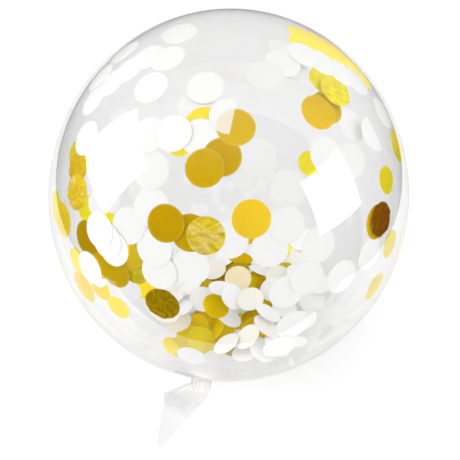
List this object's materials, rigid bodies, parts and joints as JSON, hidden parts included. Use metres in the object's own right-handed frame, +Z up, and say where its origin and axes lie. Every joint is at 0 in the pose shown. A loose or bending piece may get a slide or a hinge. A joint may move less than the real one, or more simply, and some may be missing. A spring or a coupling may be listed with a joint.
{
  "type": "confetti bubble balloon",
  "caption": "Round clear-film bubble balloon holding loose round confetti, lying on a small flat patch with its pleated neck and flat tail turned down to the front.",
  "frame": {"origin": "centre of the small flat patch that the bubble lies on, at the level of the surface", "axes": "+Z up, square to the resting patch; -Y towards the front, where the neck and the tail are; +X to the right, seen from the front"},
  "size_m": [0.3996, 0.4116, 0.4056],
  "materials": {
    "clear_film": "thin, clear, glossy stretched plastic film, slightly milky where it is gathered at the neck",
    "gold_foil": "mirror-bright gold metallised foil, a little wrinkled",
    "white_tissue": "matt white tissue paper, slightly see-through"
  },
  "bodies": {
    "root": {"balloon_envelope": "clear_film"}
  },
  "joints": []
}
